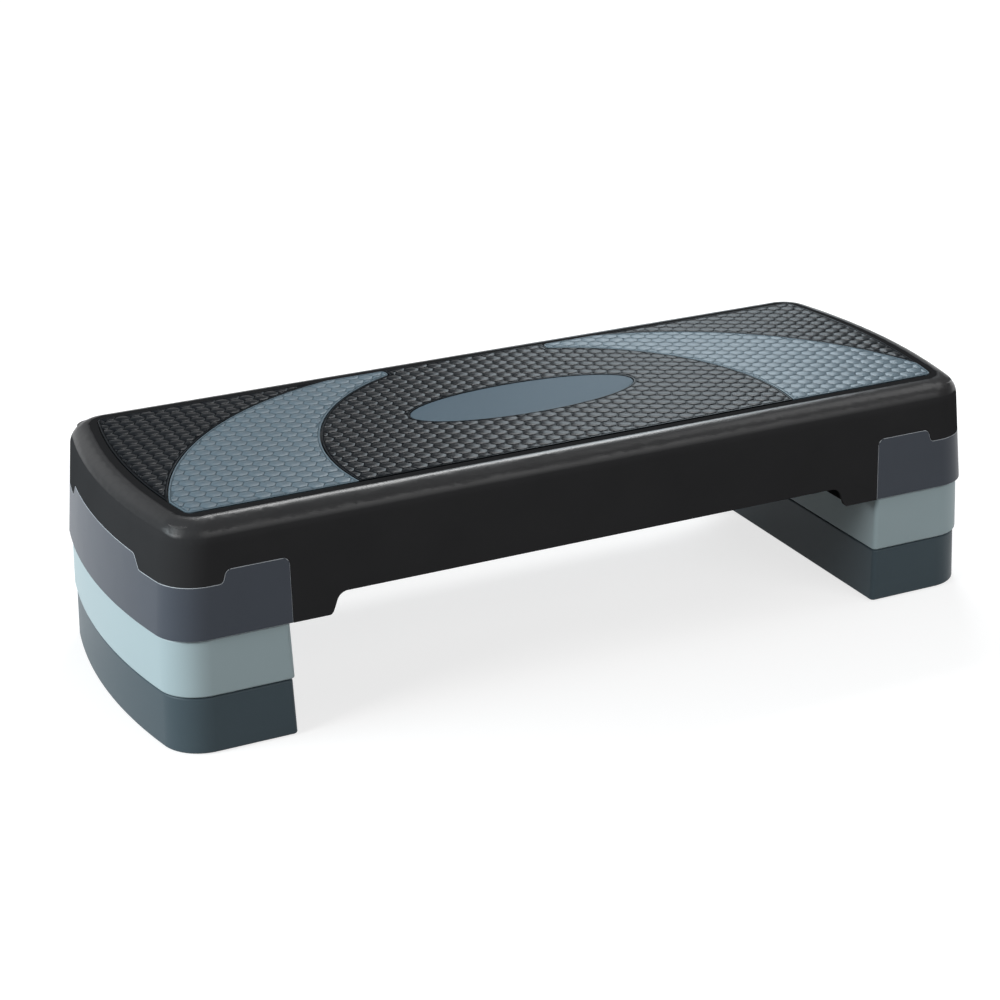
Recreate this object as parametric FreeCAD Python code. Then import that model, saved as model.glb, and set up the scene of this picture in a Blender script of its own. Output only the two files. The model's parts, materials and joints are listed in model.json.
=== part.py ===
import FreeCAD, Part
import math
import os

from FreeCAD import Vector

# Aerobic step: a ribbed platform on two end stacks, each stack two loose risers that nest by a raised rim.
# Frame: millimetres, +X along the platform, the front long side faces -Y, +Z up, origin on the floor
# under the middle of the platform.

# Overall sizes
overall_length = 795.0       # over the bowed ends, at the leg collars
overall_width = 299.0        # over the long sides, at the leg collars
overall_height = 200.0       # floor to the tops of the treads
riser_height = 50.0          # what each riser adds under the platform
stack_length = 118.5         # inner face of a stack to the crown of its bowed end
end_radius = 590.0           # plan radius of the bowed ends
corner_radius = 36.0         # plan radius of the outer corners
overrun = 2.0                # how far every cut runs past what it cuts

# Risers
riser_inset = 1.0            # how far a riser's rim stands inside the collar above it
riser_wall = 3.8
riser_plate = 3.0            # top plate that carries the block above
riser_lean = 1.5             # draft, rim to top
riser_nook = 4.0             # plan radius of the inner upright edges
riser_rim_round = 1.6
riser_top_round = 2.2
socket_nook = 2.0            # plan radius of the socket's inner corners
spigot_height = 10.0         # raised rim that enters the block above
spigot_wall = 2.6
spigot_clearance = 0.5
spigot_lean = 1.2
rib = 2.0                    # thickness of every stiffening rib
rib_clearance = 3.0          # ribs stop this far above the spigot below

# Rubber feet, alike under the legs and the risers
foot_radius = 12.0
foot_thickness = 6.0
foot_drop = 1.0              # how far a foot stands below the rim round it
foot_edge = 1.2              # bevel of the foot's lower edge
foot_side_inset = 26.0       # foot centre to the riser's long sides and inner face
foot_end_inset = 42.0        # foot centre to the crown of the bowed end
foot_clearance = 0.15
cup_depth = 3.0
cup_wall = 2.4

# Platform deck
deck_wall = 3.2
deck_plate = 3.0             # thickness left under the treads
end_lean = 9.0               # draft of the bowed ends, leg rim to deck top
side_lean = 2.5              # draft of the long sides, leg rim to deck top
deck_round = 19.0            # radius of the top edge
skirt_rise = 18.5            # middle of the skirt above the leg rims
leg_step = 34.0              # leg's inner foot to the collar's edge
arch_run = 7.2               # sideways run of the sloped end of the arch
arch_foot_round = 6.5
arch_crown_round = 10.0
leg_wall_setback = 6.0       # leg's inner wall from its foot
rib_recess = 4.0             # the legs' ribs stop this far above the skirt's edge
rib_depth = 24.0             # ribs under the plate between the legs
cross_ribs = 8               # between the two legs

# Leg collars
collar_wall = 2.4
collar_gap = 0.2             # seam between a collar and the deck round it
collar_drop = 22.0           # top of the tabs below the foot of the deck's rounded edge
tab_rise = 11.5              # shoulder to the top of the tabs
side_tab_length = 53.0       # along the long sides, at the tab's top
end_tab_width = 164.0        # across the bowed end, at the tab's top
side_tab_run = 3.5           # slope beside a side tab
end_tab_run = 9.0            # slope beside the end tab
tab_round = 6.0
tab_foot_round = 4.0
liner_margin = 4.0           # how far the leg's liner laps past the collar
hook_width = 12.0
hook_height = 4.0
hook_barb = 2.0
hook_clearance = 0.5
hook_rise = 10.0             # hook's middle below the tab's top
end_hook_share = 0.55        # place of the end hooks, of half the end tab

# Treads
tread_proud = 1.0            # tread tops above the deck's rim
tread_recess = 2.5
tread_end_margin = 23.5      # deck's top edge to the treads, at the crown of an end
tread_side_margin = 25.5
tread_corner = 8.0
tread_gap = 0.8              # seam round the treads
tread_seam = 1.2             # seam between neighbouring treads
disc_radius = 208.8          # the round seam between the centre and the crescents
disc_rise = 3.8              # the top of its circle beyond the treads' back edge
crescent_tip = 80.0          # the crescents' blunt back tips, from the middle of the length
crescent_tip_round = 5.0
sweep_radius = 297.0         # the crescents' outer seams
sweep_rise = 7.3             # the tops of their circles beyond the treads' back edge
sweep_centre_share = 0.194   # their centres along X, of half the treads' length
oval_length = 217.0
oval_width = 77.0
oval_centre = -3.5           # along Y
oval_gap = 0.5
oval_sink = 0.5              # oval plate's face below the tread tops

# Levels and half sizes worked out from these
leg_base = 2 * riser_height
leg_rim = leg_base + foot_drop
deck_rim = overall_height - tread_proud
deck_floor = deck_rim - tread_recess
plate_under = deck_floor - deck_plate
skirt_rim = leg_rim + skirt_rise
tab_top = deck_rim - deck_round - collar_drop
shoulder = tab_top - tab_rise
half_length = overall_length / 2
half_width = overall_width / 2
inner_face = half_length - stack_length
socket_face = inner_face + riser_wall
leg_wall = riser_wall + riser_inset - collar_wall - collar_gap
leg_foot = inner_face - leg_step
collar_seat = collar_wall + collar_gap
foot_y = half_width - riser_inset - foot_side_inset
foot_xs = (inner_face + foot_side_inset, half_length - riser_inset - foot_end_inset)
rib_ys = (-foot_y, -foot_y / 2, 0, foot_y / 2, foot_y)
stack_middle = (foot_xs[0] + foot_xs[1]) / 2
tread_half_length = half_length - end_lean - tread_end_margin
tread_half_width = half_width - side_lean - tread_side_margin
wide = overall_length        # reach of a cut that crosses everything


def line(start, end):
    return Part.LineSegment(start, end).toShape()


def arc(start, middle, end):
    return Part.Arc(start, middle, end).toShape()


def prism(wire, way):
    return Part.Face(wire).extrude(way)


def slab(low, high):
    size = high - low
    return Part.makeBox(size.x, size.y, size.z, low)


def turned(shape):
    # The same piece at the other end: a half turn about Z
    other = shape.copy()
    other.rotate(Vector(0, 0, 0), Vector(0, 0, 1), 180)
    return other


def edges_at(shape, z):
    flat = overrun / 1000
    return [edge for edge in shape.Edges if all(abs(v.Z - z) < flat for v in edge.Vertexes)]


def rounded_wire(corners, place):
    # Closed outline through corners (u, v, radius), each rounded by an arc tangent to both its sides
    count = len(corners)
    runs = []
    for i in range(count):
        u, v, radius = corners[i]
        here = Vector(u, v, 0)
        before = (Vector(corners[i - 1][0], corners[i - 1][1], 0) - here).normalize()
        after = (Vector(corners[(i + 1) % count][0], corners[(i + 1) % count][1], 0) - here).normalize()
        if radius == 0:
            runs.append((here, None, here))
            continue
        half_turn = before.getAngle(after) / 2
        reach = radius / math.tan(half_turn)
        bisector = (before + after).normalize()
        nearest = here + bisector * (radius / math.sin(half_turn) - radius)
        runs.append((here + before * reach, nearest, here + after * reach))
    edges = []
    for i in range(count):
        start, nearest, end = runs[i]
        if nearest is not None:
            edges.append(arc(place(start), place(nearest), place(end)))
        edges.append(line(place(end), place(runs[(i + 1) % count][0])))
    return Part.Wire(edges)


def in_xz(y):
    return lambda p: Vector(p.x, y, p.y)


def in_yz(x):
    return lambda p: Vector(x, p.x, p.y)


def bowed_end(length, width, inset, z):
    # Front corner, bowed end and back corner at +X, with the corner arcs tangent to the side and the bow
    crown = length - inset
    side = width - inset
    bow = end_radius - inset
    corner = corner_radius - inset
    bow_x = crown - bow
    corner_y = side - corner
    corner_x = bow_x + math.sqrt((bow - corner) ** 2 - corner_y ** 2)
    out = Vector(corner_x - bow_x, -corner_y, 0).normalize()
    middle = (out + Vector(0, -1, 0)).normalize()
    front = Vector(corner_x, -side, z)
    meet = Vector(bow_x, 0, z) + out * bow
    corner_middle = Vector(corner_x, -corner_y, z) + middle * corner
    points = [front, corner_middle, meet]
    back = [Vector(p.x, -p.y, p.z) for p in points]
    return [arc(*points), arc(meet, Vector(crown, 0, z), back[2]), arc(*reversed(back))]


def platform_wire(z, inset):
    # Plan outline of the platform at height z, drawn in by its draft and by inset
    rise = (z - leg_rim) / (deck_rim - leg_rim)
    right = bowed_end(half_length - end_lean * rise, half_width - side_lean * rise, inset, z)
    left = [turned(edge) for edge in right]
    front = line(left[-1].Vertexes[-1].Point, right[0].Vertexes[0].Point)
    back = line(right[-1].Vertexes[-1].Point, left[0].Vertexes[0].Point)
    return Part.Wire([front] + right + [back] + left)


def stack_wire(z, lean, inset, nook):
    # Plan outline of the right-hand stack, drawn in by lean and by inset
    length = half_length - riser_inset - lean
    side = half_width - riser_inset - lean
    end = bowed_end(length, side, inset, z)
    face = inner_face + lean + inset
    side = side - inset
    slant = nook * (1 - math.sqrt(2) / 2)
    front = end[0].Vertexes[0].Point
    back = end[-1].Vertexes[-1].Point
    points = [
        Vector(face + nook, side, z),
        Vector(face + slant, side - slant, z),
        Vector(face, side - nook, z),
        Vector(face, nook - side, z),
        Vector(face + slant, slant - side, z),
        Vector(face + nook, -side, z),
    ]
    inner = [arc(*points[:3]), line(points[2], points[3]), arc(*points[3:])]
    return Part.Wire(end + [line(back, points[0])] + inner + [line(points[5], front)])


def platform_form(low, high, inset):
    return Part.makeLoft([platform_wire(low, inset), platform_wire(high, inset)], True, True)


def rounded_platform_form(low, high, inset):
    form = platform_form(low, high, inset)
    return form.makeFillet(deck_round - inset, edges_at(form, high))


def riser_lean_at(height):
    # Draft of a riser at a height above its feet
    return riser_lean * (height - foot_drop) / (riser_height - foot_drop)


def riser_form(base, low, high, inset, nook):
    wires = [stack_wire(base + z, riser_lean_at(z), inset, nook) for z in (low, high)]
    return Part.makeLoft(wires, True, True)


def spigot_form(base, low, high, inset):
    wires = [stack_wire(base + z, spigot_lean * z / spigot_height, inset, socket_nook) for z in (low, high)]
    return Part.makeLoft(wires, True, True)


def foot_posts(base, top):
    # Posts that carry the feet, and the cups to cut in them
    posts = []
    cups = []
    for x in foot_xs:
        for y in (-foot_y, foot_y):
            bottom = base + foot_thickness - cup_depth
            outer = foot_radius + foot_clearance + cup_wall
            posts.append(Part.makeCylinder(outer, top - bottom, Vector(x, y, bottom)))
            cups.append(Part.makeCylinder(foot_radius + foot_clearance, foot_thickness, Vector(x, y, base)))
    return posts, cups


def make_riser(base):
    # Right-hand riser standing with its feet at height base
    plate = riser_height - riser_plate
    body = riser_form(base, foot_drop, riser_height, 0, riser_nook)
    body = body.makeFillet(riser_rim_round, edges_at(body, base + foot_drop))
    body = body.makeFillet(riser_top_round, edges_at(body, base + riser_height))
    body = body.cut(riser_form(base, foot_drop - overrun, plate, riser_wall, socket_nook))

    # The spigot's rim runs down into the plate that carries it
    top = base + riser_height
    root = -riser_plate / 2
    seat = riser_wall + spigot_clearance
    spigot = spigot_form(top, root, spigot_height, seat)
    spigot = spigot.cut(spigot_form(top, 0, spigot_height + overrun, seat + spigot_wall))

    # Ribs reach half way into the walls and the plate
    rib_foot = base + spigot_height + rib_clearance
    rib_head = base + riser_height - riser_plate / 2
    ribs = [slab(Vector(0, y - rib / 2, rib_foot), Vector(wide, y + rib / 2, rib_head)) for y in rib_ys]
    ribs.append(slab(Vector(stack_middle - rib / 2, -wide, rib_foot),
                     Vector(stack_middle + rib / 2, wide, rib_head)))
    within = riser_form(base, foot_drop, riser_height, riser_wall / 2, socket_nook)
    ribs = [one.common(within) for one in ribs]

    posts, cups = foot_posts(base, rib_head)
    body = body.fuse([spigot] + ribs + posts)
    return body.cut(cups).removeSplitter()


def make_foot(x, y, base):
    foot = Part.makeCylinder(foot_radius, foot_thickness, Vector(x, y, base))
    return foot.makeChamfer(foot_edge, edges_at(foot, base))


def collar_zone(grow):
    # Space of the right-hand collar: a band up to its shoulder, side tabs and an end tab, grown by a seam
    low = leg_rim - overrun
    edge = inner_face - grow
    tab_end = inner_face + side_tab_length
    top = tab_top + grow
    step = shoulder + grow
    side = rounded_wire([
        (edge, low, 0),
        (wide, low, 0),
        (wide, step, 0),
        (tab_end + side_tab_run + grow, step, max(tab_foot_round - grow, 0)),
        (tab_end + grow, top, tab_round + grow),
        (edge, top, tab_round + grow),
    ], in_xz(-wide))
    tab = end_tab_width / 2 + grow
    end = rounded_wire([
        (-half_width, low, 0),
        (half_width, low, 0),
        (half_width, step, 0),
        (tab + end_tab_run, step, max(tab_foot_round - grow, 0)),
        (tab, top, tab_round + grow),
        (-tab, top, tab_round + grow),
        (-tab - end_tab_run, step, max(tab_foot_round - grow, 0)),
        (-half_width, step, 0),
    ], in_yz(half_length - corner_radius))
    return prism(side, Vector(0, 2 * wide, 0)).fuse(prism(end, Vector(wide, 0, 0)))


def hook(grow):
    # Snap hook on the XZ plane's front side: a stem through the leg's liner and a barb behind it,
    # from the collar's inner face at y = 0 towards +y, with z = 0 at its middle
    half = hook_width / 2 + grow
    rise = hook_height / 2 + grow
    root = -collar_wall / 2
    reach = collar_gap + leg_wall + hook_clearance
    stem = slab(Vector(-half, root, -rise), Vector(half, reach + hook_barb, rise))
    barb = slab(Vector(-half, reach, -rise), Vector(half, reach + hook_barb, rise + hook_barb))
    return stem, stem.fuse(barb)


def hook_places():
    # Each hook's place on the collar's inner face and its turn about Z
    z = tab_top - hook_rise
    lean = (z - leg_rim) / (deck_rim - leg_rim)
    side = half_width - side_lean * lean - collar_wall
    bow = end_radius - collar_wall
    crown = half_length - end_lean * lean - collar_wall
    x = inner_face + side_tab_length / 2
    places = [(Vector(x, -side, z), 0), (Vector(x, side, z), 180)]
    for sign in (-1, 1):
        y = sign * end_tab_width / 2 * end_hook_share
        swing = math.degrees(math.asin(y / bow))
        places.append((Vector(crown - bow + math.sqrt(bow ** 2 - y ** 2), y, z), 90 + swing))
    return places


def placed(shape, place, swing):
    other = shape.copy()
    other.rotate(Vector(0, 0, 0), Vector(0, 0, 1), swing)
    other.translate(place)
    return other


def make_collar():
    # Right-hand collar: the leg's outer skin, open inwards, with its snap hooks
    skin = platform_form(leg_rim, deck_rim, 0).common(collar_zone(0))
    skin = skin.cut(platform_form(leg_rim - overrun, deck_rim, collar_wall))
    hooks = [placed(hook(0)[1], place, swing) for place, swing in hook_places()]
    return skin.fuse(hooks).removeSplitter()


def collar_recess():
    # What the right-hand collar takes out of the leg: its skin, its seams and the windows for its hooks
    core = platform_form(leg_rim - 2 * overrun, deck_rim + overrun, collar_seat)
    recess = collar_zone(collar_gap).cut(core)
    windows = [placed(hook(hook_clearance)[0], place, swing) for place, swing in hook_places()]
    return [recess] + windows


def leg_liner():
    # Wall of the right-hand leg behind its collar, lapped by the deck's own wall round the seams
    zone = collar_zone(liner_margin)
    liner = platform_form(leg_rim, deck_rim, collar_seat)
    liner = liner.cut(platform_form(leg_rim - overrun, deck_rim + overrun, collar_seat + leg_wall))
    return liner.common(zone)


def arch_cut():
    # Opening between the legs: the skirt's edge and a rounded slope down each leg
    low = leg_rim - overrun
    crown = leg_foot - arch_run
    reach = leg_foot + 2 * arch_foot_round
    wire = rounded_wire([
        (-reach, low, 0),
        (-leg_foot, leg_rim, arch_foot_round),
        (-crown, skirt_rim, arch_crown_round),
        (crown, skirt_rim, arch_crown_round),
        (leg_foot, leg_rim, arch_foot_round),
        (reach, low, 0),
    ], in_xz(-wide))
    return prism(wire, Vector(0, 2 * wide, 0))


def make_deck():
    outer = rounded_platform_form(leg_rim, deck_rim, 0)
    shell = outer.cut(rounded_platform_form(leg_rim - overrun, plate_under, deck_wall))
    shell = shell.cut(arch_cut())

    # Ribs, leg walls and the faces that locate the risers, trimmed half way into the wall and the plate
    head = plate_under + deck_plate / 2
    rib_foot = skirt_rim + rib_recess
    wall = leg_foot + leg_wall_setback
    cross = [(x, rib, rib_foot) for x in (-stack_middle, stack_middle)]
    for i in range(1, cross_ribs):
        cross.append((wall * (2 * i / cross_ribs - 1), rib, rib_foot))
    for sign in (-1, 1):
        cross.append((sign * (wall + deck_wall / 2), deck_wall, leg_rim))
        cross.append((sign * (socket_face - rib / 2), rib, leg_rim))
    ribs = [slab(Vector(-wide, y - rib / 2, rib_foot), Vector(wide, y + rib / 2, head)) for y in rib_ys]
    for x, thick, foot in cross:
        ribs.append(slab(Vector(x - thick / 2, -wide, foot), Vector(x + thick / 2, wide, head)))
    within = rounded_platform_form(leg_rim, head, deck_wall / 2)
    hollow = slab(Vector(-wall, -wide, 0), Vector(wall, wide, plate_under - rib_depth))
    ribs = [one.common(within).cut(hollow) for one in ribs]

    posts, cups = foot_posts(leg_base, head)
    right = [leg_liner()] + posts
    body = shell.fuse(ribs + right + [turned(one) for one in right])
    cuts = collar_recess() + cups
    cuts = cuts + [turned(one) for one in cuts]
    cuts.append(tread_plate(0, deck_floor, deck_rim + overrun))
    return body.cut(cuts).removeSplitter()


def tread_plate(inset, low, high):
    # Plate of the treads' common outline: straight sides, bowed ends, tight corners
    crown = tread_half_length - inset
    side = tread_half_width - inset
    bow = end_radius - inset
    bow_x = crown - bow
    drop = bow_x + math.sqrt(bow ** 2 - side ** 2)
    ends = [Vector(drop, -side, low), Vector(crown, 0, low), Vector(drop, side, low)]
    others = [Vector(-p.x, -p.y, p.z) for p in ends]
    edges = [
        line(others[2], ends[0]),
        arc(*ends),
        line(ends[2], others[0]),
        arc(*others),
    ]
    plate = prism(Part.Wire(edges), Vector(0, 0, high - low))
    upright = [e for e in plate.Edges if abs(e.Vertexes[0].Z - e.Vertexes[-1].Z) > overrun / 2]
    return plate.makeFillet(tread_corner - inset, upright)


def seam_ring(centre, radius):
    # Band of one seam's width round a circle, tall enough to part the treads
    ring = Part.makeCylinder(radius + tread_seam / 2, overall_height, centre)
    return ring.cut(Part.makeCylinder(radius - tread_seam / 2, overall_height, centre))


def oval(grow, low, high):
    shape = Part.Ellipse(Vector(0, oval_centre, low), oval_length / 2 + grow, oval_width / 2 + grow)
    return prism(Part.Wire([shape.toShape()]), Vector(0, 0, high - low))


def make_treads():
    # One sheet parted by a round seam in the middle and by an arc at each end outside that. At the back the
    # round seam turns off straight across the crescents' tips.
    sheet = tread_plate(tread_gap, deck_floor, overall_height)
    disc_y = tread_half_width + disc_rise - disc_radius
    disc_centre = Vector(0, disc_y, 0)
    disc = Part.makeCylinder(disc_radius, overall_height, disc_centre)
    tip_y = disc_y + math.sqrt(disc_radius ** 2 - crescent_tip ** 2)
    tip_face = crescent_tip + tread_seam
    between_tips = slab(Vector(-crescent_tip, 0, 0), Vector(crescent_tip, wide, overall_height))
    tip_slot = slab(Vector(crescent_tip, tip_y, 0), Vector(tip_face, wide, overall_height))
    left_slot = slab(Vector(-tip_face, tip_y, 0), Vector(-crescent_tip, wide, overall_height))
    seams = [seam_ring(disc_centre, disc_radius).cut(between_tips), tip_slot, left_slot]
    for sign in (-1, 1):
        sweep_y = tread_half_width + sweep_rise - sweep_radius
        sweep_centre = Vector(sign * tread_half_length * sweep_centre_share, sweep_y, 0)
        half = slab(Vector(0, -wide, 0), Vector(wide, wide, overall_height))
        half = half if sign > 0 else turned(half)
        seams.append(seam_ring(sweep_centre, sweep_radius).cut(disc).common(half))
    sheet = sheet.cut(seams)
    panels = sorted(sheet.Solids, key=lambda solid: solid.CenterOfMass.x)
    names = ("left_end", "left_crescent", "centre", "right_crescent", "right_end")
    treads = {name + "_tread": panel for name, panel in zip(names, panels, strict=True)}
    for name in ("left_crescent_tread", "right_crescent_tread"):
        panel = treads[name]
        upright = [e for e in panel.Edges if abs(e.Vertexes[0].Z - e.Vertexes[-1].Z) > overrun / 2]
        tip = [e for e in upright if abs(e.Vertexes[0].X) < tip_face + tread_seam / 2]
        treads[name] = panel.makeFillet(crescent_tip_round, tip)
    hole = oval(oval_gap, deck_floor - overrun, overall_height + overrun)
    treads["centre_tread"] = treads["centre_tread"].cut(hole)
    treads["oval_plate"] = oval(0, deck_floor, overall_height - oval_sink)
    return treads


def build():
    nodes = {"platform_deck": make_deck()}
    nodes.update(make_treads())
    collar = make_collar()
    nodes["right_leg_collar"] = collar
    nodes["left_leg_collar"] = turned(collar)
    levels = (("lower_riser", 0), ("upper_riser", riser_height), ("leg", leg_base))
    for level, base in levels:
        if level != "leg":
            riser = make_riser(base)
            nodes["right_" + level] = riser
            nodes["left_" + level] = turned(riser)
        places = [(x, y) for x in foot_xs for y in (-foot_y, foot_y)]
        for number, (x, y) in enumerate(places, 1):
            foot = make_foot(x, y, base)
            nodes["right_%s_foot_%d" % (level, number)] = foot
            nodes["left_%s_foot_%d" % (level, number)] = turned(foot)
    return nodes


os.makedirs("parts", exist_ok=True)
for name, shape in sorted(build().items()):
    shape.exportStep("parts/%s.step" % name)
    print("%-26s solids %d valid %s volume %9.0f" % (name, len(shape.Solids), shape.isValid(), shape.Volume))
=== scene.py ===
import json
import math

import bpy
import numpy as np
from mathutils import Matrix, Vector


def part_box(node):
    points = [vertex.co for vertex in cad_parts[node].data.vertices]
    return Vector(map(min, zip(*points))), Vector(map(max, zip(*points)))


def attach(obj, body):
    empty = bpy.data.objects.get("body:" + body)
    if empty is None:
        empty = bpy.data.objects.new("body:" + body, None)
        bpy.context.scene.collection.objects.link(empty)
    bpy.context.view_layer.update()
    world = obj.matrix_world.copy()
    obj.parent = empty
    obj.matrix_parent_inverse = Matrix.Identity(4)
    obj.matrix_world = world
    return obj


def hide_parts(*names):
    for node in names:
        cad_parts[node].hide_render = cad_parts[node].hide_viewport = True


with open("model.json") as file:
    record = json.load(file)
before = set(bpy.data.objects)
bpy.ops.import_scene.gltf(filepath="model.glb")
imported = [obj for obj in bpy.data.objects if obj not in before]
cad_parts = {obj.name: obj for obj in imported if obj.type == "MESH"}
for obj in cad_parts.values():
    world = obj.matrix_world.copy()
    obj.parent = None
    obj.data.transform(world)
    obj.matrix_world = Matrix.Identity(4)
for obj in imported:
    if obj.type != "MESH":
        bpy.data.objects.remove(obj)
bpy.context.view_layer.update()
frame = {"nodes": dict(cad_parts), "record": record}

mm = 0.001
nodes = frame["nodes"]


def linear(hexText):
    # sRGB hex to linear colour
    srgb = np.array([int(hexText[i:i + 2], 16) for i in (1, 3, 5)]) / 255
    rgb = np.where(srgb <= 0.04045, srgb / 12.92, ((srgb + 0.055) / 1.055) ** 2.4)
    return (*rgb.tolist(), 1.0)


def perMm(size):
    # texture scale whose features are this many millimetres across, on Object coordinates in metres
    return 1 / (size * mm)


def add(tree, kind, settings=None, inputs=None):
    # one node: its settings, then its inputs, each a plain value or a socket to link
    node = tree.nodes.new(kind)
    for key, value in (settings or {}).items():
        setattr(node, key, value)
    for key, value in (inputs or {}).items():
        if isinstance(value, bpy.types.NodeSocket):
            tree.links.new(value, node.inputs[key])
        else:
            node.inputs[key].default_value = value
    return node


def newMaterial(name):
    material = bpy.data.materials.new(name)
    material.use_nodes = True
    tree = material.node_tree
    tree.nodes.clear()
    output = add(tree, "ShaderNodeOutputMaterial")
    place = add(tree, "ShaderNodeTexCoord").outputs["Object"]
    return material, tree, place, output.inputs["Surface"]


# moulded plastics: widths, depths and heights in mm; polished gives the heights where the shine of a rounded
# edge starts, is full, fades and ends; rim is painted shade, a darker colour for the deck's flat top rim

deckPlastic = dict(name="polypropyleneBlackMoulded", colour="#303031", pale="#353536", roughness=0.31,
                   specular=0.0, polish=0.4, polished=(189.0, 195.0, 198.75, 198.95), deeper=3.0,
                   ends=(368.5, 374.0), rim="#252526", grain=0.9, grainDepth=0.012, sway=45.0, swayDepth=0.01)
collarPlastic = dict(name="polypropylenePurpleGreyMoulded", colour="#434850", pale="#484d56", roughness=0.38,
                     specular=0.15, grain=0.8, grainDepth=0.02, sway=60.0, swayDepth=0.04)
palePlastic = dict(name="polypropylenePaleGreyMoulded", colour="#9bacb0", pale="#a1b2b6", roughness=0.45,
                   specular=0.3, grain=0.8, grainDepth=0.02, sway=60.0, swayDepth=0.04)
darkPlastic = dict(name="polypropyleneSlateMoulded", colour="#404c53", pale="#455258", roughness=0.42,
                   specular=0.15, grain=0.8, grainDepth=0.02, sway=60.0, swayDepth=0.04)
# cut edges painted pale: a painted highlight along the collars' bevelled edges
edgeHighlightPlastic = dict(name="polypropylenePurpleGreyPaintedHighlight", colour="#a2a8ae", pale="#babfc4", roughness=0.5,
                   specular=0.15, grain=0.8, grainDepth=0.02, sway=14.0, swayDepth=0.02)
glossSwing = 0.04  # roughness either side of the plastics' own


def between(tree, value, low, high, toLow=0.0, toHigh=1.0):
    # one value's range drawn out over another
    return add(tree, "ShaderNodeMapRange", None, {"Value": value, "From Min": low, "From Max": high,
                                                  "To Min": toLow, "To Max": toHigh}).outputs["Result"]


def mouldedPlastic(spec):
    # Injection-moulded polypropylene from a spark-eroded tool: an even satin with a fine pebble grain that
    # breaks up the edges of its highlights, and faint slow waves where the walls cooled over the ribs. Feet
    # and hands polish a rounded edge, deeper along its sides than at its ends, so it shines while the walls
    # under it stay dull, and the flat rim above it gets a darker colour, painted shade on a face the lamps
    # light well.
    material, tree, place, surface = newMaterial(spec["name"])
    cloud = add(tree, "ShaderNodeTexNoise", None,
                {"Vector": place, "Scale": perMm(spec["sway"]), "Detail": 2.0}).outputs["Fac"]
    grain = add(tree, "ShaderNodeTexNoise", None,
                {"Vector": place, "Scale": perMm(spec["grain"]), "Detail": 1.5}).outputs["Fac"]
    colour = add(tree, "ShaderNodeMix", {"data_type": "RGBA"},
                 {0: cloud, 6: linear(spec["colour"]), 7: linear(spec["pale"])})
    gloss = between(tree, cloud, 0.0, 1.0, spec["roughness"] - glossSwing, spec["roughness"] + glossSwing)
    waves = add(tree, "ShaderNodeBump", None,
                {"Height": cloud, "Strength": 1.0, "Distance": spec["swayDepth"] * mm})
    pebbles = add(tree, "ShaderNodeBump", None,
                  {"Height": grain, "Strength": 1.0, "Distance": spec["grainDepth"] * mm,
                   "Normal": waves.outputs["Normal"]})
    shine = spec["specular"]
    base = colour.outputs[2]
    if "polish" in spec:
        axes = add(tree, "ShaderNodeSeparateXYZ", None, {"Vector": place})
        out = add(tree, "ShaderNodeMath", {"operation": "ABSOLUTE"}, {0: axes.outputs["X"]}).outputs[0]
        side = between(tree, out, *(x * mm for x in spec["ends"]), spec["deeper"] * mm, 0.0)
        lifted = add(tree, "ShaderNodeMath", None, {0: axes.outputs["Z"], 1: side}).outputs[0]
        rise, full, fade, end = (level * mm for level in spec["polished"])
        above = between(tree, lifted, rise, full, spec["specular"], spec["polish"])
        below = between(tree, axes.outputs["Z"], fade, end, spec["polish"], spec["specular"])
        shine = add(tree, "ShaderNodeMath", {"operation": "MINIMUM"}, {0: above, 1: below}).outputs[0]
        # painted shade: above the fade height the flat rim takes the darker rim colour, so its well-lit
        # upward face reads dark
        flat = between(tree, axes.outputs["Z"], fade, end)
        base = add(tree, "ShaderNodeMix", {"data_type": "RGBA"},
                   {0: flat, 6: base, 7: linear(spec["rim"])}).outputs[2]
    shader = add(tree, "ShaderNodeBsdfPrincipled", None,
                 {"Base Color": base, "Roughness": gloss, "Specular IOR Level": shine,
                  "Normal": pebbles.outputs["Normal"]})
    tree.links.new(shader.outputs["BSDF"], surface)
    return material


deckMaterial = mouldedPlastic(deckPlastic)
collarMaterial = mouldedPlastic(collarPlastic)
paleMaterial = mouldedPlastic(palePlastic)
darkMaterial = mouldedPlastic(darkPlastic)
edgeHighlightMaterial = mouldedPlastic(edgeHighlightPlastic)


def meshOf(node):
    # The node's points in mm and its triangles, merged where they meet
    mesh = nodes[node].data
    points = np.empty(len(mesh.vertices) * 3, np.float32)
    mesh.vertices.foreach_get("co", points)
    corners = np.empty(len(mesh.loops), np.int32)
    mesh.loops.foreach_get("vertex_index", corners)
    points, merged = np.unique(np.round(points.reshape(-1, 3) / mm, 3), axis=0, return_inverse=True)
    faces = merged.ravel()[corners].reshape(-1, 3)
    whole = (faces != np.roll(faces, 1, axis=1)).all(1)
    return points, faces[whole]


def makePiece(name, forms, body, sharp=30):
    # One mesh from several (points in mm, arrays of faces), smooth but for edges above the sharp angle
    offset = 0
    points, faces = [], []
    for formPoints, formFaces in forms:
        points.append(formPoints)
        faces += [part + offset for part in formFaces]
        offset += len(formPoints)
    points = np.concatenate(points) * mm
    corners = np.concatenate([part.ravel() for part in faces])
    sizes = np.concatenate([np.full(len(part), part.shape[1]) for part in faces])
    mesh = bpy.data.meshes.new(name)
    mesh.vertices.add(len(points))
    mesh.vertices.foreach_set("co", points.astype(np.float32).ravel())
    mesh.loops.add(len(corners))
    mesh.loops.foreach_set("vertex_index", corners.astype(np.int32))
    mesh.polygons.add(len(sizes))
    mesh.polygons.foreach_set("loop_start", (np.cumsum(sizes) - sizes).astype(np.int32))
    mesh.polygons.foreach_set("use_smooth", np.ones(len(sizes), bool))
    mesh.update(calc_edges=True)
    mesh.set_sharp_from_angle(angle=math.radians(sharp))
    piece = bpy.data.objects.new(name, mesh)
    bpy.context.scene.collection.objects.link(piece)
    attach(piece, body)
    return piece


# mouldings: the CAD shapes with their faces joined, so light runs on over the seams between them

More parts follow.
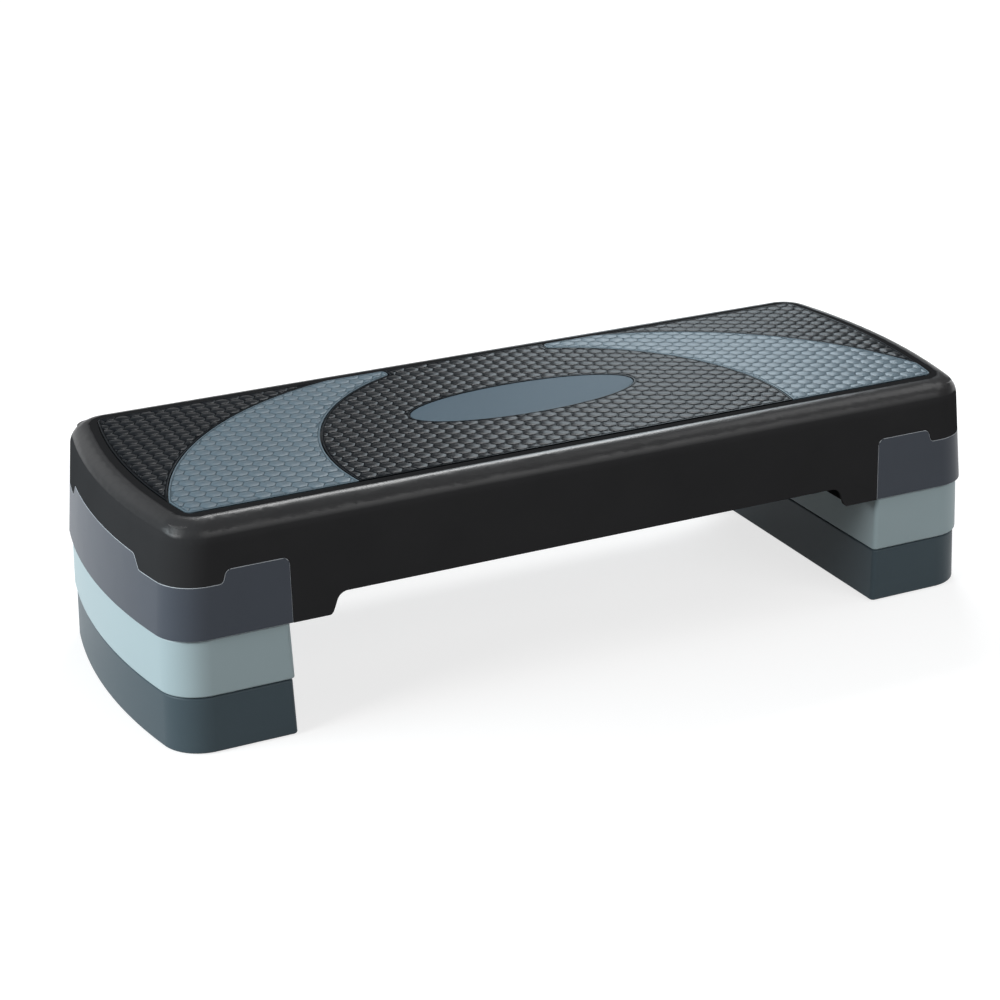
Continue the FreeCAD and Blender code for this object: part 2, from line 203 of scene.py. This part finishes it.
edgeBevel = dict(width=0.4, segments=2, angle=50)
mouldingCrease = 35  # degrees, above which an edge stays sharp
bodyOf = {node: body for body, held in frame["record"]["behaviour"]["bodies"].items() for node in held}
mouldings = [("platform_deck", deckMaterial, "deck_black")]
for hand in ("left", "right"):
    mouldings.append((hand + "_leg_collar", collarMaterial, "collar_grey"))
    mouldings.append((hand + "_upper_riser", paleMaterial, "riser_pale"))
    mouldings.append((hand + "_lower_riser", darkMaterial, "riser_dark"))
for node, material, slot in mouldings:
    points, faces = meshOf(node)
    piece = makePiece(node + "_moulding", [(points, [faces])], bodyOf[node], mouldingCrease)
    if "collar" in node:
        edges = piece.modifiers.new("edges", "BEVEL")
        edges.width = edgeBevel["width"] * mm
        edges.segments = edgeBevel["segments"]
        edges.angle_limit = math.radians(edgeBevel["angle"])
        edges.use_clamp_overlap = False
        # the bevel's faces take the pale edge plastic, a painted highlight along the collar's edges
        edges.material = 1
    even = piece.modifiers.new("evenNormals", "WEIGHTED_NORMAL")
    even.keep_sharp = True
    piece.data.materials.append(material)
    if "collar" in node:
        piece.data.materials.append(edgeHighlightMaterial)
    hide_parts(node)
print("mouldings joined and their plastics set")

# studded treads: hexagonal studs on thin sheets, cut off along the seams

lattice = dict(pitch=13.2, groove=1.0, columns=40, rows=20, sheetTop=199.4, studTop=200.0, root=0.4,
               bevel=0.6, bevelShare=0.4, drop=0.34, dome=0.06, seam=2.1, keep=1.0, least=0.6, passes=4,
               sharpness=20, corners=(-5, 5, 30))
bead = dict(width=1.3, top=199.9, foot=198.8, edge=0.3, mitreLimit=1.2, slack=0.01)
treadLimits = dict(side=120.7, reach=400.0, bowCentre=225.0, bowRadius=589.2, discCentre=(0.0, -83.5),
                   discRadius=208.8, tip=80.6, sweepCentre=(70.81, -168.2), sweepRadius=297.0, halfSeam=0.6,
                   ovalCentre=(0.0, -3.5), ovalHalf=(109.0, 39.0))


def bySide(y):
    # straight limit along X: how far inside it each point is, and the way out
    def limit(points):
        out = np.zeros_like(points)
        out[:, 1] = np.sign(y)
        return abs(y) - np.sign(y) * points[:, 1], out
    return limit


def byCircle(centre, radius, inside):
    # round limit, for a tread inside the circle or outside it
    def limit(points):
        away = points - np.array(centre)
        far = np.linalg.norm(away, axis=1)
        out = away / far[:, None]
        return (radius - far, out) if inside else (far - radius, -out)
    return limit


def byEnd(x):
    # straight limit along Y for a crescent, which lies beyond it
    def limit(points):
        out = np.zeros_like(points)
        out[:, 0] = -np.sign(x)
        return np.sign(x) * points[:, 0] - abs(x), out
    return limit


def byDisc(centre, radius, tip):
    # The disc and the strip behind it that lies between the crescents' tips: the roomier of the two
    disc = byCircle(centre, radius, True)

    def limit(points):
        gap, out = disc(points)
        strip = np.where(points[:, 1] > 0, tip - abs(points[:, 0]), -np.inf)
        across = np.stack([np.sign(points[:, 0]), np.zeros(len(points))], -1)
        wider = strip > gap
        return np.where(wider, strip, gap), np.where(wider[:, None], across, out)
    return limit


def roundOval(centre, half):
    # elliptical hole, its distance to first order
    def limit(points):
        part = (points - np.array(centre)) / np.array(half)
        size = np.linalg.norm(part, axis=1)
        slope = part / np.array(half) / size[:, None]
        steep = np.linalg.norm(slope, axis=1)
        return (size - 1) / steep, -slope / steep[:, None]
    return limit


def studRing(limits, low, high):
    # Outlines of the studs of one tread: each stud is a hexagon of the lattice cut by the tread's limits, and
    # its radius at an angle is the soft minimum of the distances to all these lines from a centre inside them
    pitch = lattice["pitch"]
    apothem = (pitch - lattice["groove"]) / 2
    columns, rows = lattice["columns"], lattice["rows"]
    column, row = np.meshgrid(np.arange(-columns, columns + 1), np.arange(-rows, rows + 1), indexing="ij")
    home = np.stack([column * pitch * math.sqrt(0.75), (row + column % 2 / 2) * pitch], -1).reshape(-1, 2)
    inside = np.all([limit(home)[0] > -apothem for limit in limits], axis=0)
    home = home[inside & (home[:, 0] > low) & (home[:, 0] < high)]
    centre = home.copy()
    for limit in limits * lattice["passes"]:
        gap, out = limit(centre)
        centre -= out * np.clip(lattice["keep"] + lattice["seam"] - gap, 0, None)[:, None]
    ways = np.radians(np.arange(30, 390, 60))
    gaps = [apothem - (centre - home) @ np.stack([np.cos(ways), np.sin(ways)])]
    turns = [np.broadcast_to(ways, gaps[0].shape)]
    for limit in limits:
        gap, out = limit(centre)
        gaps.append(gap[:, None] - lattice["seam"])
        turns.append(np.arctan2(out[:, 1], out[:, 0])[:, None])
    gaps = np.concatenate(gaps, 1)
    turns = np.concatenate(turns, 1)
    whole = gaps.min(1) > lattice["least"]
    angles = np.radians((np.arange(0, 360, 60)[:, None] + np.array(lattice["corners"])).ravel())
    nearness = np.clip(np.cos(angles - turns[whole][:, :, None]), 1e-9, None) / gaps[whole][:, :, None]
    radius = (nearness ** lattice["sharpness"]).sum(1) ** (-1 / lattice["sharpness"])
    return centre[whole], radius, angles


def studs(limits, low, high):
    # Three rings for each stud, foot, shoulder and bevelled top, and a low dome closed at its middle
    centre, radius, angles = studRing(limits, low, high)
    inset = np.minimum(lattice["bevel"], radius * lattice["bevelShare"])
    reach = np.stack([radius, radius, radius - inset], 1)
    way = np.stack([np.cos(angles), np.sin(angles)], -1)
    flat = centre[:, None, None] + reach[..., None] * way
    top = lattice["studTop"]
    heights = np.array([lattice["sheetTop"] - lattice["root"], top - lattice["drop"], top - lattice["dome"]])
    level = np.broadcast_to(heights[None, :, None, None], flat.shape[:3] + (1,))
    count = len(angles)
    rings = np.concatenate([flat, level], -1).reshape(len(centre), 3 * count, 3)
    middle = np.concatenate([centre, np.full((len(centre), 1), top)], 1)
    points = np.concatenate([rings, middle[:, None]], 1).reshape(-1, 3)
    start = np.arange(len(centre))[:, None, None] * (3 * count + 1) + np.arange(3)[:, None] * count
    here = start + np.arange(count)
    after = start + (np.arange(count) + 1) % count
    walls = np.stack([here[:, :2], after[:, :2], after[:, 1:], here[:, 1:]], -1).reshape(-1, 4)
    crown = np.broadcast_to(start[:, 2] + count, here[:, 2].shape)
    caps = np.stack([here[:, 2], after[:, 2], crown], -1).reshape(-1, 3)
    return points, [walls, caps]


def sheetOf(node):
    # The node's own plate with its top lowered to the foot of the studs
    points, faces = meshOf(node)
    points[:, 2] = np.minimum(points[:, 2], lattice["sheetTop"])
    return points, [faces]


def beadOf(node):
    # A smooth bead round the tread: a low profile carried along the outline of its top, each outline point
    # moved in along the mitre of its two edges
    points, faces = meshOf(node)
    faces = faces[(points[faces][:, :, 2] > lattice["studTop"] - bead["slack"]).all(1)]
    size = len(points)
    start = faces.ravel()
    end = np.roll(faces, -1, axis=1).ravel()
    single = ~np.isin(start * size + end, end * size + start)
    outline, ends = np.unique(np.stack([start[single], end[single]]), return_inverse=True)
    ends = ends.reshape(2, -1)
    flat = points[outline, :2]
    along = flat[ends[1]] - flat[ends[0]]
    inward = np.stack([-along[:, 1], along[:, 0]], -1) / np.linalg.norm(along, axis=1)[:, None]
    mitre = np.zeros_like(flat)
    np.add.at(mitre, ends[0], inward)
    np.add.at(mitre, ends[1], inward)
    mitre *= np.minimum(2 / (mitre ** 2).sum(1), bead["mitreLimit"])[:, None]
    width, edge, top, foot = (bead[key] for key in ("width", "edge", "top", "foot"))
    inset = np.array([0, 0, edge, width - edge, width, width])
    level = np.array([foot, top - edge, top, top, top - edge, foot])
    place = flat + inset[:, None, None] * mitre
    height = np.broadcast_to(level[:, None, None], place.shape[:2] + (1,))
    first = np.arange(len(inset) - 1)[:, None] * len(outline)
    quads = np.stack([ends[0] + first, ends[1] + first, ends[1] + first + len(outline),
                      ends[0] + first + len(outline)], -1)
    return np.concatenate([place, height], -1).reshape(-1, 3), [quads.reshape(-1, 4)]


# each rubber's darker groove colour is painted shade down between the studs
blackRubber = dict(name="rubberBlackMoulded", colour="#15181c", pale="#1c1f23", roughness=0.3,
                   specular=0.08, paintedGrooveShade="#111417", groove=199.4, crest=199.65, grain=0.6, grainDepth=0.012,
                   cloud=35.0)
greyRubber = dict(name="rubberBlueGreyMoulded", colour="#5c6c76", pale="#62727c", roughness=0.38,
                  specular=0.16, paintedGrooveShade="#53626b", groove=199.4, crest=199.65, grain=0.6, grainDepth=0.012,
                  cloud=35.0)
footRubber = dict(name="rubberFootMoulded", colour="#202122", pale="#2a2b2c", roughness=0.6, specular=0.3,
                  grain=0.5, grainDepth=0.05, cloud=12.0)
cloudSwing = 0.03  # roughness either side of the rubbers' own
grooveShare = 0.3  # shine left in the grooves


def mouldedRubber(spec):
    # Compression-moulded rubber: a fine dusty tooth and slow clouding where feet have rubbed it, with painted
    # shade darkening the grooves and less shine down in them, so the studs catch the light on their tops and
    # no two patches shine alike.
    material, tree, place, surface = newMaterial(spec["name"])
    cloud = add(tree, "ShaderNodeTexNoise", None,
                {"Vector": place, "Scale": perMm(spec["cloud"]), "Detail": 4.0}).outputs["Fac"]
    grain = add(tree, "ShaderNodeTexNoise", None,
                {"Vector": place, "Scale": perMm(spec["grain"]), "Detail": 2.0}).outputs["Fac"]
    colour = add(tree, "ShaderNodeMix", {"data_type": "RGBA"},
                 {0: cloud, 6: linear(spec["colour"]), 7: linear(spec["pale"])})
    gloss = between(tree, cloud, 0.0, 1.0, spec["roughness"] - cloudSwing, spec["roughness"] + cloudSwing)
    base = colour.outputs[2]
    polish = spec["specular"]
    if "paintedGrooveShade" in spec:
        height = add(tree, "ShaderNodeSeparateXYZ", None, {"Vector": place}).outputs["Z"]
        # painted shade: the groove floors take the darker groove colour, standing in for the shade between
        # the studs
        lifted = between(tree, height, spec["groove"] * mm, spec["crest"] * mm)
        base = add(tree, "ShaderNodeMix", {"data_type": "RGBA"},
                   {0: lifted, 6: linear(spec["paintedGrooveShade"]), 7: base}).outputs[2]
        polish = between(tree, lifted, 0.0, 1.0, polish * grooveShare, polish)
    tooth = add(tree, "ShaderNodeBump", None,
                {"Height": grain, "Strength": 1.0, "Distance": spec["grainDepth"] * mm})
    shader = add(tree, "ShaderNodeBsdfPrincipled", None,
                 {"Base Color": base, "Roughness": gloss,
                  "Specular IOR Level": polish, "Normal": tooth.outputs["Normal"]})
    tree.links.new(shader.outputs["BSDF"], surface)
    return material


blackTread = mouldedRubber(blackRubber)
greyTread = mouldedRubber(greyRubber)
footMaterial = mouldedRubber(footRubber)

half = treadLimits["halfSeam"]
outmost = treadLimits["reach"]
sides = [bySide(-treadLimits["side"]), bySide(treadLimits["side"])]
insideDisc = byDisc(treadLimits["discCentre"], treadLimits["discRadius"] - half, treadLimits["tip"] - half)
outsideDisc = byCircle(treadLimits["discCentre"], treadLimits["discRadius"] + half, False)
treads = [("centre_tread", blackTread, "tread_black", (-outmost, outmost),
           sides + [insideDisc, roundOval(treadLimits["ovalCentre"], treadLimits["ovalHalf"])])]
for hand, sign in (("left", -1), ("right", 1)):
    sweep = (sign * treadLimits["sweepCentre"][0], treadLimits["sweepCentre"][1])
    bow = byCircle((-sign * treadLimits["bowCentre"], 0), treadLimits["bowRadius"], True)
    reach = (-outmost, 0) if sign < 0 else (0, outmost)
    treads.append((hand + "_crescent_tread", greyTread, "tread_grey", reach,
                   sides + [outsideDisc, bow, byCircle(sweep, treadLimits["sweepRadius"] - half, True),
                            byEnd(sign * (treadLimits["tip"] + half))]))
    treads.append((hand + "_end_tread", blackTread, "tread_black", reach,
                   sides + [outsideDisc, bow, byCircle(sweep, treadLimits["sweepRadius"] + half, False)]))
for node, material, slot, reach, limits in treads:
    piece = makePiece(node + "_rubber", [sheetOf(node), beadOf(node), studs(limits, *reach)], "platform")
    piece.data.materials.append(material)
    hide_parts(node)
print("five studded treads made")


def gridFaces(rows, columns):
    # quads of a grid whose columns close round
    here = np.arange(rows - 1)[:, None] * columns + np.arange(columns)
    after = np.arange(rows - 1)[:, None] * columns + (np.arange(columns) + 1) % columns
    return np.stack([here, after, after + columns, here + columns], -1).reshape(-1, 4)


# smooth oval plate with a rounded edge

ovalPlate = dict(centre=(0.0, -3.5), half=(108.5, 38.5), low=196.5, top=199.5, edge=0.9, bends=7,
                 middles=(19.25, 38.0), turns=160, crease=50)
ovalPlastic = dict(name="polypropyleneOvalSatin", colour="#505f6a", pale="#54646f", roughness=0.5,
                   specular=0.04, grain=0.7, grainDepth=0.015, sway=50.0, swayDepth=0.03)


def ovalForm(spec):
    # Rows go up the wall, round the edge on a quarter circle and in to the middle; along a row the angle
    # turns once
    bend = np.radians(np.linspace(0, 90, spec["bends"]))
    inset = np.concatenate([[0.0], spec["edge"] * (1 - np.cos(bend)), spec["middles"]])
    rounded = spec["top"] - spec["edge"] * (1 - np.sin(bend))
    level = np.concatenate([[spec["low"]], rounded, [spec["top"]] * len(spec["middles"])])
    angle = np.linspace(0, 2 * np.pi, spec["turns"], endpoint=False)
    across = (spec["half"][0] - inset)[:, None] * np.cos(angle) + spec["centre"][0]
    along = (spec["half"][1] - inset)[:, None] * np.sin(angle) + spec["centre"][1]
    points = np.stack([across, along, np.broadcast_to(level[:, None], across.shape)], -1).reshape(-1, 3)
    rows = len(level)
    caps = np.stack([np.arange(spec["turns"])[::-1], np.arange(spec["turns"]) + (rows - 1) * spec["turns"]])
    return points, [gridFaces(rows, spec["turns"]), caps]


oval = makePiece("oval_plate_satin", [ovalForm(ovalPlate)], "platform", ovalPlate["crease"])
oval.data.materials.append(mouldedPlastic(ovalPlastic))
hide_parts("oval_plate")
print("oval plate made")

# rubber feet with grip rings

foot = dict(radius=12.0, height=6.0, bevel=1.2, ringDepth=0.7, ringSlope=0.3, rings=((8.2, 9.6), (3.4, 4.8)),
            turns=36)


def footForm(spec, centre, base):
    # A profile of radius and height turned about the foot's middle, from its bevelled edge in over the rings
    rim, bevel, depth, slope = (spec[key] for key in ("radius", "bevel", "ringDepth", "ringSlope"))
    profile = [(rim, spec["height"]), (rim, bevel), (rim - bevel, 0.0)]
    for inner, outer in spec["rings"]:
        profile += [(outer + slope, 0.0), (outer, depth), (inner, depth), (inner - slope, 0.0)]
    profile = np.array(profile)
    angle = np.linspace(0, 2 * np.pi, spec["turns"], endpoint=False)
    points = np.stack([
        centre[0] + profile[:, :1] * np.cos(angle),
        centre[1] + profile[:, :1] * np.sin(angle),
        np.broadcast_to(base + profile[:, 1:], (len(profile), spec["turns"])),
    ], -1).reshape(-1, 3)
    rows = len(profile)
    caps = np.stack([np.arange(spec["turns"]), np.arange(spec["turns"])[::-1] + (rows - 1) * spec["turns"]])
    return points, [gridFaces(rows, spec["turns"])[:, ::-1], caps]


for name in [name for name in nodes if "_foot_" in name]:
    low, high = (np.array(corner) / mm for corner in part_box(name))
    piece = makePiece(name + "_rubber", [footForm(foot, (low + high)[:2] / 2, low[2])], bodyOf[name])
    piece.data.materials.append(footMaterial)
    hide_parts(name)
print("feet made")

# floor, light and camera

floorSpec = dict(half=9.0, wall=1.0, seen="#ffffff", glow=(0.72, 1.0), reach=(0.5, 1.8), seenShare=0.4,
                 bounce="#5e5e5e")
floorMesh = bpy.data.meshes.new("floor")
reach = floorSpec["half"]
corners = [(-reach, -reach), (reach, -reach), (reach, reach), (-reach, reach)]
walls = [(i, i + 4, (i + 1) % 4 + 4, (i + 1) % 4) for i in range(4)]
points = [(x, y, z) for z in (0, floorSpec["wall"]) for x, y in corners]
floorMesh.from_pydata(points, [], [(0, 1, 2, 3)] + walls)
floor = bpy.data.objects.new("floor", floorMesh)
bpy.context.scene.collection.objects.link(floor)
# Seamless paper, turned up into low walls far off: white where the camera, a reflection or glass sees it,
# with the object's soft shadow, and a quieter grey for the light that it throws back.
material, tree, place, surface = newMaterial("paperWhiteSeamless")
path = add(tree, "ShaderNodeLightPath")
seen = add(tree, "ShaderNodeMath", {"operation": "MAXIMUM"},
           {0: path.outputs["Is Camera Ray"], 1: path.outputs["Is Glossy Ray"]})
seen = add(tree, "ShaderNodeMath", {"operation": "MAXIMUM"},
           {0: seen.outputs[0], 1: path.outputs["Is Transmission Ray"]})
away = add(tree, "ShaderNodeVectorMath", {"operation": "LENGTH"}, {0: place})
fade = between(tree, away.outputs["Value"], *floorSpec["reach"], *floorSpec["glow"])
glow = add(tree, "ShaderNodeEmission", None, {"Color": linear(floorSpec["seen"]), "Strength": fade})
share = floorSpec["seenShare"]
paper = add(tree, "ShaderNodeBsdfDiffuse", None, {"Color": (share, share, share, 1)})
bright = add(tree, "ShaderNodeAddShader", None, {0: glow.outputs[0], 1: paper.outputs[0]})
quiet = add(tree, "ShaderNodeBsdfDiffuse", None, {"Color": linear(floorSpec["bounce"])})
mix = add(tree, "ShaderNodeMixShader", None, {0: seen.outputs[0], 1: quiet.outputs[0], 2: bright.outputs[0]})
tree.links.new(mix.outputs[0], surface)
floorMesh.materials.append(material)

skyStrength = 0.12
world = bpy.data.worlds.new("studio")
bpy.context.scene.world = world
world.use_nodes = True
tree = world.node_tree
tree.nodes.clear()
output = add(tree, "ShaderNodeOutputWorld")
sky = add(tree, "ShaderNodeBackground", None, {"Color": linear("#ffffff"), "Strength": skyStrength})
tree.links.new(sky.outputs[0], output.inputs["Surface"])


def softLight(name, place, target, size, power, colour="#ffffff"):
    data = bpy.data.lights.new(name, "AREA")
    data.shape = "RECTANGLE"
    data.size = size[0]
    data.size_y = size[1]
    data.energy = power
    data.color = linear(colour)[:3]
    lamp = bpy.data.objects.new(name, data)
    bpy.context.scene.collection.objects.link(lamp)
    way = Vector(target) - Vector(place)
    lamp.matrix_world = Matrix.Translation(place) @ way.to_track_quat("-Z", "Y").to_matrix().to_4x4()
    lamp.visible_camera = False


# Lamps in metres and watts: place, target, size, power
softLight("leftBox", (-2.7, 0.25, 0.95), (-0.35, 0, 0.1), (1.1, 0.9), 60, "#eefaff")
softLight("leftFrontBox", (-2.2, -0.57, 1.08), (-0.35, 0, 0.1), (0.6, 0.6), 20)
softLight("topStrip", (0.69, 1.23, 1.69), (0.69, 0, 0.2), (1.05, 0.34), 19)
softLight("rightBackBox", (0.735, 0.98, 0.8), (0.2, 0, 0.2), (0.52, 0.75), 5.2, "#e4f2fa")
softLight("rightTopBox", (1.75, -0.25, 2.15), (0.3, -0.1, 0.2), (1.1, 1.1), 8)
softLight("leftBackBox", (-0.95, 2.2, 1.1), (-0.3, 0, 0.2), (1.3, 0.95), 1.5)
softLight("frontFill", (0.9, -2.8, 1.5), (0, 0, 0.1), (2.8, 1.8), 42)

# Camera solved from the photograph's straight and bowed edges: place in mm, turn in degrees, focal length in
# pixels of the 1000 pixel frame, sensor width in mm and reach in m
camera = dict(place=(-868.48, -1777.85, 903.72), yaw=25.43, pitch=-22.09, roll=-0.96, focal=2371.28,
              frame=1000, sensor=36.0, reach=50.0)
yaw, pitch, roll = (math.radians(camera[k]) for k in ("yaw", "pitch", "roll"))
ahead = Vector((math.sin(yaw) * math.cos(pitch), math.cos(yaw) * math.cos(pitch), math.sin(pitch)))
right = Vector((math.cos(yaw), -math.sin(yaw), 0))
up = right.cross(ahead)
rolledRight = right * math.cos(roll) + up * math.sin(roll)
rolledUp = up * math.cos(roll) - right * math.sin(roll)
data = bpy.data.cameras.new("camera")
data.sensor_width = camera["sensor"]
data.lens = data.sensor_width * camera["focal"] / camera["frame"]
data.clip_end = camera["reach"]
eye = bpy.data.objects.new("camera", data)
turn = Matrix((rolledRight, rolledUp, -ahead)).transposed().to_4x4()
eye.matrix_world = Matrix.Translation(Vector(camera["place"]) * mm) @ turn
bpy.context.scene.collection.objects.link(eye)
bpy.context.scene.camera = eye
bpy.context.scene.view_settings.view_transform = "Standard"
print("floor, light and camera set")
